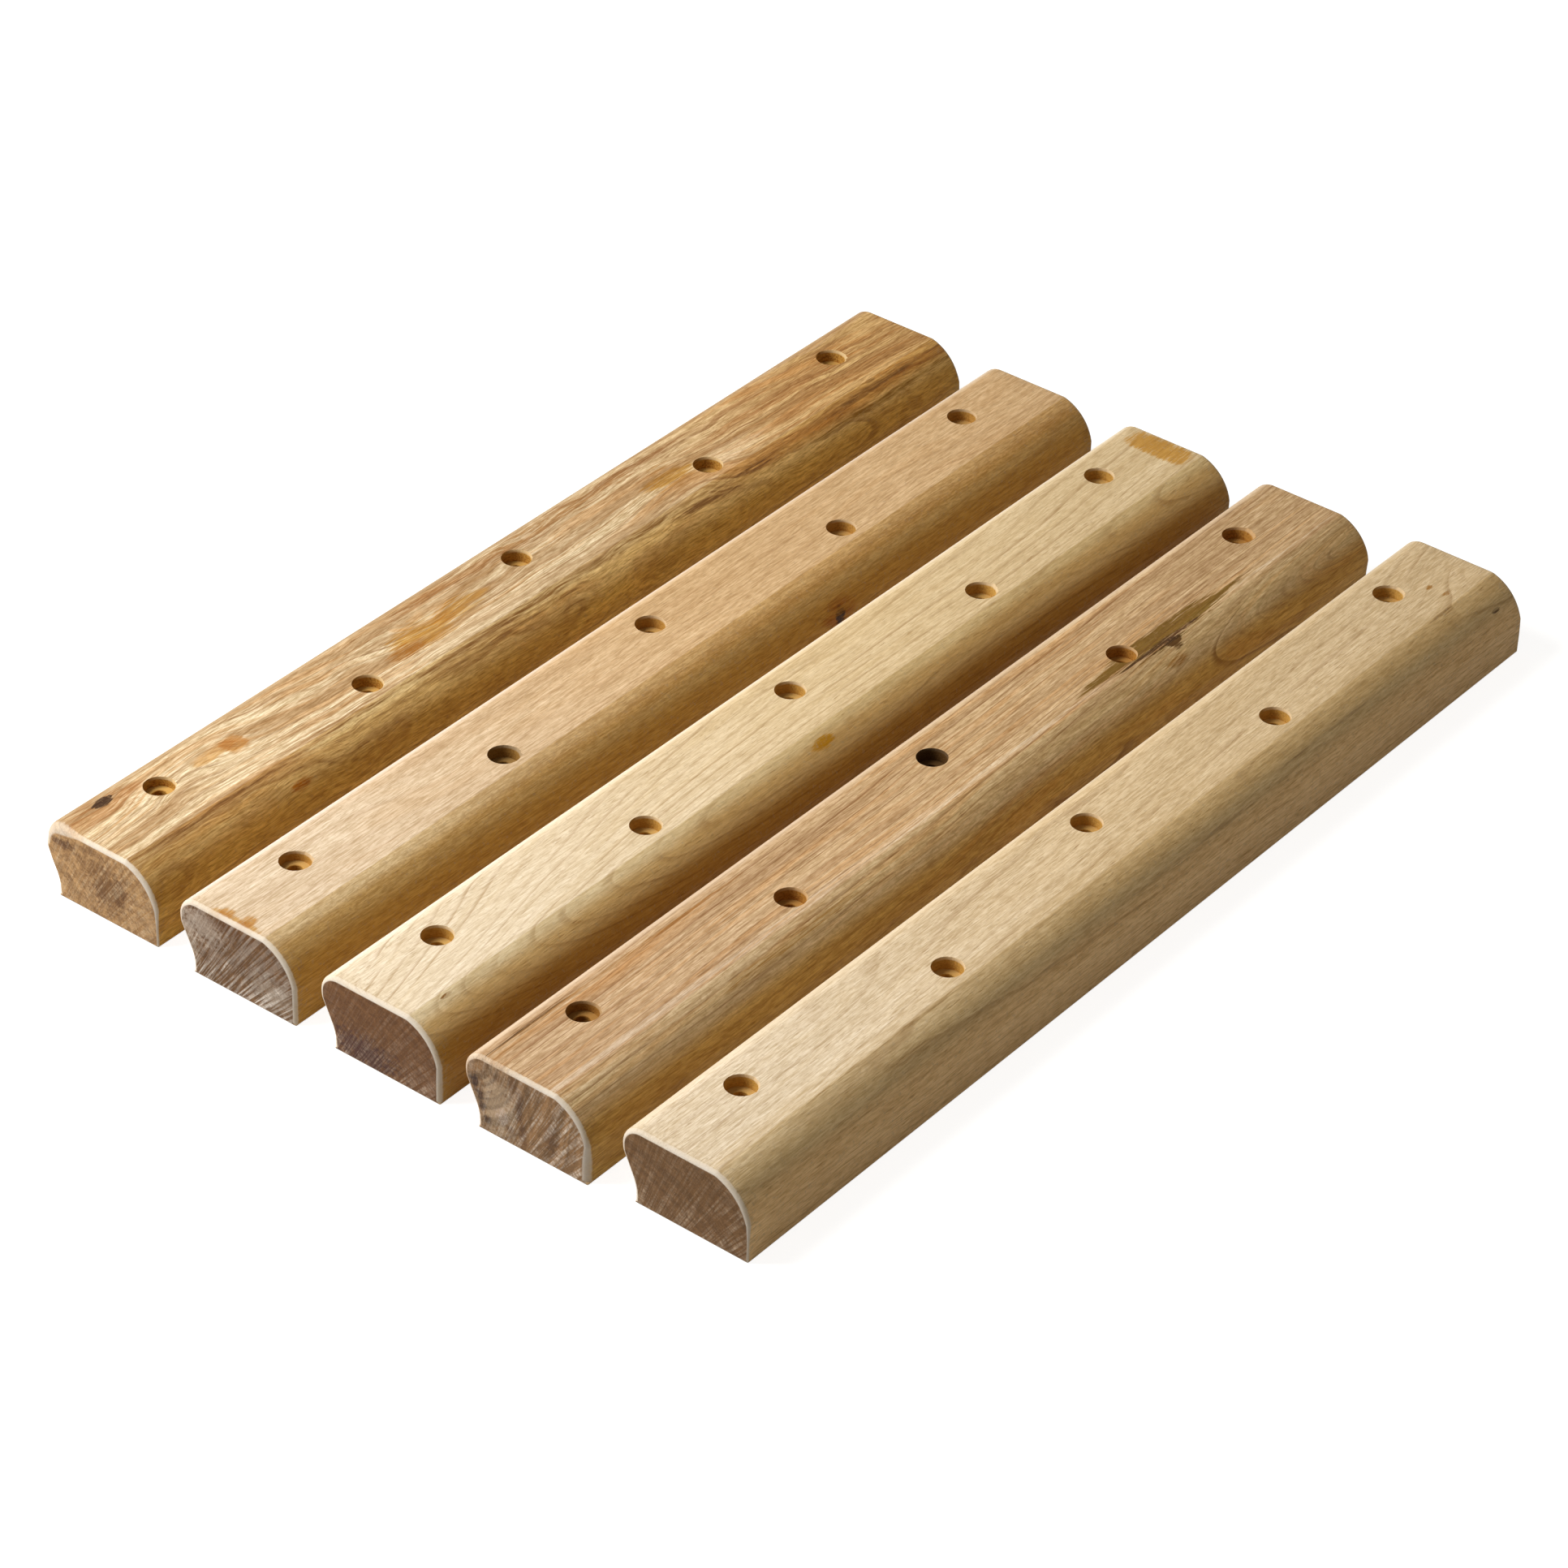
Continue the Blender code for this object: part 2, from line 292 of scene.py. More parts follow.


# A mark or stain is (place, half size, colour, strength), and a swell (place, half size, bulge of the rings).
# An end mark's place and half size are only (across, up).
# A tint of painted shade and painted light is (where it starts, where it is full, tint), by how far the
# surface faces across. The nose colour and the far tint along the top are painted light and shade too.
LOOKS = (
    Look(
        turned=radians(0.22),
        painted_light_and_shade_tints=(
            (0.10, 0.24, (0.98, 0.89, 0.65)),
            (0.36, 0.55, (0.99, 0.88, 0.68)),
            (0.66, 0.90, (0.95, 0.86, 0.52)),
        ),
        nose=(0.36, 0.24, 0.12),
        painted_nose_share=0.65,
        far_painted_shade_tint=(0.86, 0.68, 0.43),
        far_painted_shade_span=(0.0, 190.0),
        pale=(0.740, 0.590, 0.370),
        deep=(0.350, 0.195, 0.075),
        warm=(0.560, 0.335, 0.150),
        pith=(-34.0, -12.0),
        lean=(0.01, 0.02),
        wander=8.5,
        wave=56.0,
        ring_width=2.0,
        ring_strength=0.75,
        band_strength=0.80,
        fibre_strength=0.35,
        long_fibres=0.55,
        fibre_drift=0.8,
        pore_strength=0.45,
        fleck_strength=0.05,
        end_dark=(0.21, 0.105, 0.042),
        end_warm=(0.50, 0.29, 0.125),
        end_pale=(0.66, 0.47, 0.28),
        ray_pith=(-60.0, -82.0),
        ray_strength=0.62,
        mottle_strength=1.0,
        haze=(0.0, 0.0),
        end_marks=(
            ((4.0, 14.0), (9.0, 8.0), (0.20, 0.095, 0.034), 0.95),
            ((-2.0, 21.0), (9.0, 2.0), (0.22, 0.110, 0.044), 0.6),
            ((9.0, 15.0), (3.0, 5.0), (0.15, 0.070, 0.028), 0.8),
            ((0.0, 11.0), (3.0, 4.0), (0.17, 0.080, 0.032), 0.7),
            ((-17.0, 23.5), (6.0, 1.6), (0.12, 0.055, 0.025), 0.9),
            ((-4.0, 26.0), (6.0, 1.2), (0.14, 0.065, 0.028), 0.45),
        ),
        lifted=(0.0011, 0.0, 0.0, 0.0, 0.0),
        rim_lost=0.35,
        corner_ease=0.0022,
        torn=(0.35, 0.15, 0.20, 0.30, 1.00),
        marks=(
            ((-15.5, -212.0, 30.0), (6.0, 20.0, 5.0), (0.40, 0.20, 0.07), 0.9),
            ((-17.6, -210.2, 30.0), (2.4, 4.6, 2.5), (0.07, 0.035, 0.014), 2.6),
            ((-16.5, 20.0, 29.5), (4.0, 90.0, 4.0), (0.36, 0.19, 0.07), 1.4),
            ((-16.0, 125.0, 30.0), (3.5, 50.0, 4.0), (0.42, 0.23, 0.10), 0.4),
            # This pale mark lightens the far part of rung 1's nose: painted light, set against the nose's
            # painted shade.
            ((-22.5, 178.0, 27.5), (5.0, 70.0, 5.0), (0.62, 0.46, 0.28), 1.3),
            ((-7.0, 150.0, 30.0), (3.5, 60.0, 4.0), (0.42, 0.21, 0.07), 0.8),
            ((12.0, -160.0, 29.6), (2.5, 90.0, 3.0), (0.38, 0.20, 0.07), 0.6),
            ((8.0, -48.0, 30.0), (4.0, 55.0, 4.0), (0.82, 0.66, 0.43), 0.7),
            ((11.0, 40.0, 29.8), (3.0, 60.0, 4.0), (0.78, 0.62, 0.39), 0.6),
            ((-3.0, -60.0, 30.0), (7.0, 18.0, 9.0), (0.51, 0.275, 0.060), 1.6),
            ((0.0, -72.0, 30.0), (4.0, 10.0, 9.0), (0.40, 0.180, 0.030), 1.3),
            ((-4.0, -38.0, 30.0), (5.0, 16.0, 9.0), (0.53, 0.30, 0.08), 1.3),
            ((-1.5, 80.0, 30.0), (6.5, 14.0, 9.0), (0.45, 0.24, 0.050), 1.7),
            ((4.0, 112.0, 30.0), (5.0, 20.0, 9.0), (0.78, 0.62, 0.42), 0.9),
            ((13.0, 187.0, 29.5), (0.9, 3.5, 2.0), (0.09, 0.05, 0.02), 1.2),
            ((15.8, 170.0, 28.6), (1.1, 75.0, 2.5), (0.24, 0.13, 0.04), 1.0),
            ((20.6, 185.0, 25.4), (1.1, 60.0, 2.5), (0.26, 0.14, 0.02), 1.0),
            ((17.6, 90.0, 27.6), (2.2, 30.0, 3.0), (0.24, 0.13, 0.05), 1.1),
            ((14.0, -165.0, 29.2), (1.2, 78.0, 3.0), (0.26, 0.14, 0.05), 1.1),
            ((14.6, 0.0, 29.0), (1.3, 110.0, 3.0), (0.27, 0.14, 0.045), 1.1),
            ((17.8, -70.0, 27.4), (0.9, 110.0, 2.5), (0.28, 0.16, 0.06), 0.9),
            ((22.0, -152.0, 24.2), (1.5, 6.0, 2.5), (0.40, 0.15, 0.01), 1.3),
        ),
        stains=(
            ((-8.5, -164.0, 30.0), (2.6, 9.0, 9.0), (0.52, 0.29, 0.100), 1.0),
            ((-7.0, -155.0, 30.0), (4.2, 4.6, 9.0), (0.48, 0.24, 0.070), 1.1),
        ),
        swells=(
            ((-12.0, -165.0, 30.0), (9.0, 26.0, 9.0), 5.0),
            ((4.0, 84.0, 30.0), (9.0, 26.0, 9.0), 5.0),
            ((-4.0, -56.0, 30.0), (9.0, 30.0, 9.0), -4.0),
        ),
    ),
    Look(
        turned=radians(0.13),
        painted_light_and_shade_tints=(
            (0.10, 0.24, (0.96, 0.89, 0.68)),
            (0.38, 0.60, (0.86, 0.72, 0.46)),
            (0.66, 0.90, (0.94, 0.82, 0.50)),
        ),
        nose=(0.79, 0.70, 0.61),
        painted_nose_share=0.8,
        far_painted_shade_tint=(0.94, 0.80, 0.60),
        pale=(0.69, 0.548, 0.384),
        deep=(0.500, 0.350, 0.205),
        warm=(0.618, 0.435, 0.258),
        pith=(-47.0, -73.0),
        lean=(0.0, 0.012),
        wander=5.0,
        wave=120.0,
        ring_width=3.2,
        ring_strength=0.30,
        band_strength=0.35,
        fibre_strength=0.26,
        pore_strength=0.30,
        fleck_strength=0.45,
        end_dark=(0.130, 0.063, 0.026),
        end_pale=(0.86, 0.76, 0.65),
        end_marks=(
            ((-24.0, 14.0), (6.0, 14.0), (0.42, 0.32, 0.23), 0.6),
            ((-16.0, 22.0), (9.0, 6.0), (0.44, 0.34, 0.26), 0.75),
            ((17.0, 7.0), (9.0, 6.0), (0.34, 0.25, 0.17), 0.5),
            ((-2.0, 26.5), (9.0, 2.5), (0.125, 0.052, 0.018), 0.7),
        ),
        ray_pith=(-65.0, -78.0),
        ray_strength=1.0,
        dotted=0.15,
        mottle_strength=0.30,
        haze=(0.1, -1.2),
        lifted=(0.0011, 0.0, 0.0, 0.0, 0.0),
        foot_ease=0.0017,
        torn=(0.60, 0.70, 0.20, 0.15, 0.15),
        burnt=((1, 0.45),),
        marks=(
            ((26.2, 68.0, 15.8), (4.5, 10.0, 6.5), (0.40, 0.17, 0.03), 0.9),
            ((26.2, 68.2, 14.6), (2.6, 3.0, 4.0), (0.08, 0.04, 0.012), 1.6),
        ),
        stains=(
            ((-6.5, -229.5, 30.0), (2.4, 4.5, 9.0), (0.46, 0.24, 0.07), 1.1),
            ((-1.5, -230.0, 30.0), (9.5, 3.2, 9.0), (0.50, 0.28, 0.09), 1.2),
            ((2.0, -229.0, 30.0), (2.4, 5.5, 9.0), (0.46, 0.24, 0.07), 1.1),
        ),
        swells=(
            ((0.0, 140.0, 30.0), (14.0, 40.0, 20.0), 4.0),
            ((0.0, -120.0, 30.0), (12.0, 34.0, 20.0), -3.0),
            ((26.5, 69.0, 14.0), (9.0, 16.0, 9.0), 4.0),
        ),
    ),
    Look(
        turned=radians(-0.02),
        painted_light_and_shade_tints=(
            (0.10, 0.24, (0.96, 0.92, 0.77)),
            (0.35, 0.62, (0.94, 0.78, 0.52)),
            (0.70, 0.90, (0.66, 0.535, 0.27)),
        ),
        nose=(0.87, 0.78, 0.65),
        painted_nose_share=0.7,
        far_painted_shade_tint=(0.94, 0.86, 0.69),
        pale=(0.770, 0.645, 0.470),
        deep=(0.562, 0.423, 0.243),
        warm=(0.691, 0.534, 0.32),
        pith=(-40.0, -78.0),
        lean=(-0.006, -0.012),
        wander=3.0,
        wave=130.0,
        ring_width=1.35,
        ring_strength=0.60,
        band_strength=0.25,
        fibre_strength=0.18,
        pore_strength=0.45,
        fleck_strength=0.10,
        end_dark=(0.140, 0.062, 0.024),
        end_warm=(0.27, 0.130, 0.052),
        end_pale=(0.60, 0.44, 0.32),
        ray_pith=(-60.0, -82.0),
        ray_strength=0.60,
        mottle_strength=0.5,
        haze=(0.0, -1.2),
        end_marks=(((-8.0, 5.0), (15.0, 6.0), (0.070, 0.030, 0.024), 0.85),),
        foot_ease=0.0020,
        torn=(0.15, 0.20, 0.25, 1.10, 0.30),
        marks=(
            ((17.5, -15.2, 27.6), (2.2, 7.0, 3.0), (0.54, 0.29, 0.015), 3.0),
            ((14.0, -212.5, 29.2), (0.7, 3.0, 2.0), (0.24, 0.11, 0.03), 1.2),
        ),
        stains=(((-3.0, 222.2, 30.0), (11.8, 5.6, 9.0), (0.54, 0.30, 0.070), 1.4),),
        swells=(
            ((0.0, -300.0, 0.0), (400.0, 140.0, 400.0), -12.0),
            ((20.0, 130.0, 20.0), (40.0, 110.0, 40.0), -4.0),
        ),
    ),
    Look(
        turned=radians(-0.06),
        painted_light_and_shade_tints=(
            (0.10, 0.24, (1.10, 1.16, 1.13)),
            (0.36, 0.55, (1.07, 1.06, 0.98)),
            (0.66, 0.90, (0.85, 0.71, 0.37)),
        ),
        nose=(0.71, 0.56, 0.41),
        painted_nose_share=0.7,
        far_painted_shade_tint=(1.03, 1.02, 0.93),
        pale=(0.610, 0.425, 0.248),
        deep=(0.365, 0.210, 0.100),
        warm=(0.546, 0.296, 0.122),
        pith=(-30.0, 27.0),
        lean=(-0.02, -0.01),
        wander=6.0,
        wave=100.0,
        ring_width=2.6,
        ring_strength=0.85,
        band_strength=0.58,
        calm_shoulder=0.35,
        fibre_strength=0.30,
        pore_strength=0.35,
        fleck_strength=0.12,
        end_dark=(0.190, 0.105, 0.048),
        end_pale=(0.72, 0.60, 0.48),
        ray_strength=0.80,
        ray_pith=(-37.0, -67.0),
        belt_strength=0.50,
        mottle_strength=0.60,
        haze=(0.7, -0.3),
        end_marks=(
            ((-12.0, 13.0), (7.5, 14.0), (0.46, 0.33, 0.21), 0.7),
            ((-9.8, 9.5), (2.5, 2.8), (0.48, 0.36, 0.28), 0.7),
            ((-21.9, 18.4), (1.5, 3.2), (0.07, 0.035, 0.020), 1.0),
            ((-19.5, 14.5), (1.6, 2.4), (0.09, 0.045, 0.022), 1.0),
            ((-18.3, 9.8), (1.5, 2.2), (0.10, 0.050, 0.024), 1.0),
            ((-16.0, 5.4), (1.4, 1.4), (0.09, 0.045, 0.022), 1.0),
            ((-12.0, 24.5), (2.4, 2.0), (0.16, 0.085, 0.038), 0.9),
            ((-6.6, 6.2), (2.0, 1.4), (0.14, 0.075, 0.038), 0.9),
            ((-5.5, 25.0), (1.5, 4.0), (0.16, 0.080, 0.035), 0.9),
            ((-2.6, 17.0), (1.5, 7.0), (0.14, 0.070, 0.032), 1.0),
            ((-1.0, 7.0), (1.5, 5.0), (0.14, 0.070, 0.032), 0.9),
            ((11.0, 11.0), (2.5, 6.0), (0.15, 0.075, 0.036), 0.7),
        ),
        rim_lost=0.50,
        lifted=(0.0010, 0.0, 0.0, 0.0, 0.0),
        foot_ease=0.0030,
        torn=(0.45, 0.20, 0.15, 0.30, 1.20),
        burnt=((0, 0.25), (2, 0.86)),
        marks=(
            ((10.3, -95.0, 30.0), (1.4, 330.0, 2.5), (0.70, 0.55, 0.39), 1.1),
            ((8.0, 117.0, 30.0), (4.6, 50.0, 4.0), (0.185, 0.098, 0.014), 3.2),
            ((11.0, 112.0, 29.9), (1.5, 26.0, 2.0), (0.11, 0.048, 0.010), 2.6),
            ((12.8, 117.0, 29.6), (3.0, 4.5, 2.0), (0.12, 0.055, 0.014), 2.6),
            ((19.0, 111.0, 26.8), (1.8, 7.0, 3.0), (0.33, 0.16, 0.045), 1.2),
            ((21.5, -195.0, 25.0), (4.0, 70.0, 5.0), (0.58, 0.41, 0.24), 0.8),
            ((21.5, 195.0, 25.0), (4.0, 60.0, 5.0), (0.58, 0.41, 0.22), 0.7),
            ((17.5, -112.0, 28.0), (2.2, 50.0, 2.2), (0.36, 0.19, 0.06), 1.0),
            ((-18.0, -210.0, 30.0), (0.45, 24.0, 1.0), (0.12, 0.06, 0.02), 1.0),
            ((-17.2, -165.0, 30.0), (0.9, 70.0, 1.6), (0.38, 0.19, 0.06), 1.1),
            ((-14.5, -200.0, 30.0), (1.3, 60.0, 1.6), (0.50, 0.26, 0.09), 0.7),
        ),
        swells=(
            ((19.5, 236.0, 26.4), (12.0, 100.0, 12.0), 26.0),
            ((25.5, 30.0, 17.0), (11.0, 55.0, 11.0), 7.0),
            ((26.0, -240.0, 18.0), (12.0, 70.0, 12.0), 6.0),
        ),
    ),
    Look(
        turned=radians(-0.27),
        painted_light_and_shade_tints=(
            (0.05, 0.24, (0.93, 0.86, 0.69)),
            (0.35, 0.62, (0.98, 0.93, 0.81)),
            (0.70, 0.92, (1.27, 1.18, 1.13)),
        ),
        nose=(0.75, 0.63, 0.46),
        painted_nose_share=0.6,
        far_painted_shade_tint=(0.92, 0.84, 0.69),
        crease_radius=0.0060,
        pale=(0.780, 0.645, 0.465),
        deep=(0.557, 0.426, 0.258),
        warm=(0.696, 0.54, 0.34),
        pith=(-42.0, -75.0),
        lean=(-0.010, -0.018),
        wander=6.0,
        wave=100.0,
        ring_width=2.0,
        ring_strength=0.48,
        band_strength=0.28,
        fibre_strength=0.23,
        pore_strength=0.50,
        fleck_strength=0.10,
        end_dark=(0.150, 0.076, 0.030),
        end_warm=(0.30, 0.165, 0.075),
        end_pale=(0.66, 0.50, 0.35),
        ray_strength=0.60,
        mottle_strength=0.40,
        haze=(0.2, -0.9),
        torn=(0.50, 0.20, 0.25, 0.25, 1.00),
        marks=(
            ((-0.2, 204.2, 30.0), (1.2, 2.4, 2.0), (0.42, 0.22, 0.06), 1.2),
            ((7.0, 204.8, 30.0), (1.0, 2.0, 2.0), (0.42, 0.22, 0.06), 1.2),
            ((22.3, 216.3, 24.2), (0.6, 3.0, 1.5), (0.12, 0.07, 0.03), 1.2),
            ((13.0, 190.0, 29.6), (0.6, 10.0, 1.5), (0.24, 0.14, 0.06), 0.7),
            ((10.5, -60.0, 30.0), (3.4, 340.0, 3.0), (0.60, 0.45, 0.26), 0.7),
            ((12.8, -130.0, 29.7), (0.5, 60.0, 1.2), (0.30, 0.18, 0.07), 0.7),
            ((22.5, -150.0, 24.0), (0.5, 34.0, 1.2), (0.34, 0.22, 0.12), 0.5),
            ((23.8, -60.0, 22.6), (0.45, 40.0, 1.2), (0.34, 0.22, 0.12), 0.5),
            ((22.8, 30.0, 23.7), (0.6, 60.0, 1.4), (0.34, 0.23, 0.13), 0.5),
            ((20.5, 110.0, 25.6), (0.6, 40.0, 1.4), (0.30, 0.19, 0.10), 0.6),
        ),
        swells=(
            ((0.0, 236.0, 30.0), (15.0, 42.0, 18.0), 7.0),
            ((-10.0, -145.0, 30.0), (9.0, 40.0, 14.0), -3.0),
        ),
    ),
)


def spaced(length, step):
    """Shares of a length, at even steps with a short one at each end, which keeps the corners there crisp."""
    inner = length - 2 * CRISP_STEP
    count = max(1, round(inner / step))
    return [0.0] + [(CRISP_STEP + inner * place / count) / length for place in range(count + 1)] + [1.0]


def arc(centre, radius, start, end):
    """Points on an arc with the outward way at each. A negative radius is a hollow."""
    length = abs(radius * (end - start))
    side = 1 if radius > 0 else -1
    points = []
    for share in spaced(length, min(LONGEST_STEP, abs(radius) * ARC_STEP)):
        turn = start + (end - start) * share
        across, up = cos(turn), sin(turn)
        place = (centre[0] + abs(radius) * across, centre[1] + abs(radius) * up)
        points.append((*place, side * across, side * up))
    return points


def flat(first, last):
    """Points between two arcs' ends, neither included."""
    (x0, z0), (x1, z1) = first[:2], last[:2]
    length = hypot(x1 - x0, z1 - z0)
    if length < 2 * CRISP_STEP:
        return []
    outward = ((z1 - z0) / length, (x0 - x1) / length)
    shares = spaced(length, LONGEST_STEP)[1:-1]
    return [(x0 + (x1 - x0) * share, z0 + (z1 - z0) * share, *outward) for share in shares]


def section_arcs(look):
    """The rounded parts of the outline, anticlockwise from the back's corner at the shoulder's side."""
    nose_x, wall_x = -WIDTH / 2, WIDTH / 2
    nose_centre = (nose_x + NOSE_RADIUS, HEIGHT - NOSE_RADIUS)
    drop = nose_centre[1] - FOOT_HEIGHT
    radii = NOSE_RADIUS + COVE_RADIUS
    flank = atan2(drop, radii - INCUT) - acos(radii / hypot(radii - INCUT, drop))
    cove_centre = (nose_x + INCUT - COVE_RADIUS, FOOT_HEIGHT)
    shoulder_x = wall_x - SHOULDER_RADIUS * cos(SIDE_CREASE)
    shoulder_centre = (shoulder_x, HEIGHT - SHOULDER_RADIUS * cos(TOP_CREASE))
    foot_x = nose_x + INCUT
    rise = SHOULDER_RADIUS * cos(TOP_CREASE) - look.crease_radius
    run = sqrt((SHOULDER_RADIUS - look.crease_radius) ** 2 - rise**2)
    crease_centre = (shoulder_centre[0] + run, HEIGHT - look.crease_radius)
    return (
        arc((wall_x - BACK_EASE, BACK_EASE), BACK_EASE, -pi / 2, 0.0),
        arc(shoulder_centre, SHOULDER_RADIUS, SIDE_CREASE, atan2(rise, run)),
        arc(crease_centre, look.crease_radius, atan2(rise, run), pi / 2),
        arc(nose_centre, NOSE_RADIUS, pi / 2, pi + flank),
        arc(cove_centre, -COVE_RADIUS, flank, 0.0),
        arc((foot_x + BACK_EASE, BACK_EASE), BACK_EASE, pi, 3 * pi / 2),
    )


def section(look):
    """The rung's outline, anticlockwise from the back, as (across, up, outward across, outward up)."""
    arcs = section_arcs(look)
    points = []
    for first, following in zip(arcs, arcs[1:] + arcs[:1]):
        points += first + flat(first[-1], following[0])
    return [point for point, following in zip(points, points[1:] + points[:1]) if apart(point, following)]


def apart(first, second):
    """Whether two points of an outline are far enough apart to be two corners."""
    return hypot(first[0] - second[0], first[1] - second[1]) > LEAST_STEP


def smooth(value):
    """An even rise from 0 to 1."""
    share = min(1.0, max(0.0, value))
    return share * share * (3 - 2 * share)


def ease_at(point, look, end):
    """How far a rung's end is sanded round at a point of its outline: least at the back."""
    across, up, _, out_up = point
    ease = END_EASE
    if across > 0.0:
        ease += (look.foot_ease - END_EASE) * smooth((SHOULDER_RADIUS - up) / EASE_FADE)
    if end < 0:
        ease += look.corner_ease * smooth((-CORNER_START - across) / EASE_FADE) * smooth(up / EASE_FADE - 1)
    return ease + (BACK_SHARE * BACK_EASE - ease) * smooth(-out_up / BACK_TURN)


def sanded(point, along, seed):
    """How far the sanding took this point in from the true surface."""
    across, up = point[:2]
    if up < FOOT_HEIGHT:
        return 0.0
    place = (across / SANDING_WAVE, along / SANDING_WAVE, up / SANDING_WAVE + SANDING_SEED_STEP * seed)
    return SANDING_DEPTH * (0.5 + 0.5 * noise.noise(Vector(place)))


def ring_of(points, along, seed, look=None, turn=0.0, end=0):
    """The outline at a place along the rung, or at a turn through the ease of an end."""
    ring = []
    for point in points:
        across, up, out_across, out_up = point
        ease = ease_at(point, look, end) if end else 0.0
        inset = ease * (1 - cos(turn)) + sanded(point, along, seed)
        place = end * (LENGTH / 2 - ease * (1 - sin(turn))) if end else along
        ring.append((across - out_across * inset, place, up - out_up * inset))
    return ring


def loft(name, rings):
    """A closed mesh through rings of points, with both ends capped."""
    work = bmesh.new()
    rows = [[work.verts.new(place) for place in ring] for ring in rings]
    for row, following in zip(rows, rows[1:]):
        for index in range(len(row)):
            beside = (index + 1) % len(row)
            work.faces.new((row[index], row[beside], following[beside], following[index]))
    for cap in (rows[0], rows[-1]):
        work.faces.new(cap)
    bmesh.ops.recalc_face_normals(work, faces=work.faces)
    mesh = bpy.data.meshes.new(name)
    work.to_mesh(mesh)
    work.free()
    return mesh


def bar_mesh(name, look, seed):
    """A rung without its holes."""
    points = section(look)
    turns = [pi / 2 * step / EASE_STEPS for step in range(EASE_STEPS + 1)]
    near = [ring_of(points, -LENGTH / 2, seed, look, turn, -1) for turn in reversed(turns)]
    far = [ring_of(points, LENGTH / 2, seed, look, turn, 1) for turn in turns]
    count = round(LENGTH / ROW_STEP_ALONG)
    middle = [ring_of(points, LENGTH * (step / count - 0.5), seed) for step in range(1, count)]
    return loft(name, near + middle + far)


def hole_places():
    """The middles of the five screw holes, nearest first."""
    nose_row = -WIDTH / 2 + NOSE_ROW_INSET
    second_row = nose_row + ROW_STEP
    end_hole = LENGTH / 2 - END_HOLE_INSET
    between = end_hole - HOLE_SPACING
    return (
        (nose_row, -end_hole),
        (second_row, -between),
        (nose_row, 0.0),
        (second_row, between),
        (nose_row, end_hole),
    )


def cutter_profile(lifted):
    """The heights in a hole, with its radius and the share of the tearing at each."""
    floor = HEIGHT - COUNTERBORE_DEPTH + lifted
    bored = (
        (-CUTTER_OVERRUN, SCREW_HOLE_RADIUS, 0.0),
        (floor - FLOOR_CHAMFER, SCREW_HOLE_RADIUS, 0.0),
        (floor, SCREW_HOLE_RADIUS + FLOOR_CHAMFER, 0.0),
        (floor, COUNTERBORE_RADIUS, 0.0),
    )
    torn = tuple((HEIGHT - depth, COUNTERBORE_RADIUS + wider, share) for depth, wider, share in TORN_RIM)
    return bored + torn


def cutter_mesh(name, middle, torn, lifted, seed):
    """What the drill took out of one hole, and the fibres it tore from the rim, mostly towards +Y."""
    rings = []
    for up, radius, share in cutter_profile(lifted):
        ring = []
        for side in range(HOLE_SIDES):
            turn = 2 * pi * side / HOLE_SIDES
            lobe = max(0.0, cos(turn - TORN_SIDE)) ** 2
            place = (TORN_LUMPS * cos(turn), TORN_LUMPS * sin(turn), RIM_SEED_STEP * seed)
            rough = noise.noise(Vector(place))
            torn_here = torn * lobe * (1 + TORN_ROUGHNESS * rough) + TORN_ALL_ROUND * abs(rough)
            reach = radius + share * TORN_REACH * torn_here
            ring.append((middle[0] + reach * cos(turn), middle[1] + reach * sin(turn), up))
        rings.append(ring)
    return loft(name, rings)


def solid_object(name, mesh):
    """A new object in the scene."""
    made = bpy.data.objects.new(name, mesh)
    bpy.context.scene.collection.objects.link(made)
    return made


def cut_hole(rung, mesh):
    """Cuts one hole, whose walls get the rung's second material, and returns the cutter."""
    for material in rung.data.materials:
        mesh.materials.append(material)
    for face in mesh.polygons:
        face.material_index = 1
    cutter = solid_object(mesh.name, mesh)
    cut = rung.modifiers.new(mesh.name, "BOOLEAN")
    cut.operation = "DIFFERENCE"
    cut.solver = "EXACT"
    cut.object = cutter
    return cutter


def drilled(rung, look, seed):
    """Cuts the five holes and keeps the result as the rung's mesh."""
    cutters = []
    for index, middle in enumerate(hole_places()):
        hole_seed = seed + HOLE_SEED_STEP * index
        mesh = cutter_mesh(f"cutter_{index}", middle, look.torn[index], look.lifted[index], hole_seed)
        cutters.append(cut_hole(rung, mesh))
    graph = bpy.context.evaluated_depsgraph_get()
    finished = bpy.data.meshes.new_from_object(rung.evaluated_get(graph))
    rung.modifiers.clear()
    rung.data = finished
    for cutter in cutters:
        bpy.data.objects.remove(cutter)
    finished.shade_smooth()
    finished.set_sharp_from_angle(angle=SMOOTH_ANGLE)


def product(first, second):
    """One colour multiplied by another."""
    return tuple(a * b for a, b in zip(first, second))


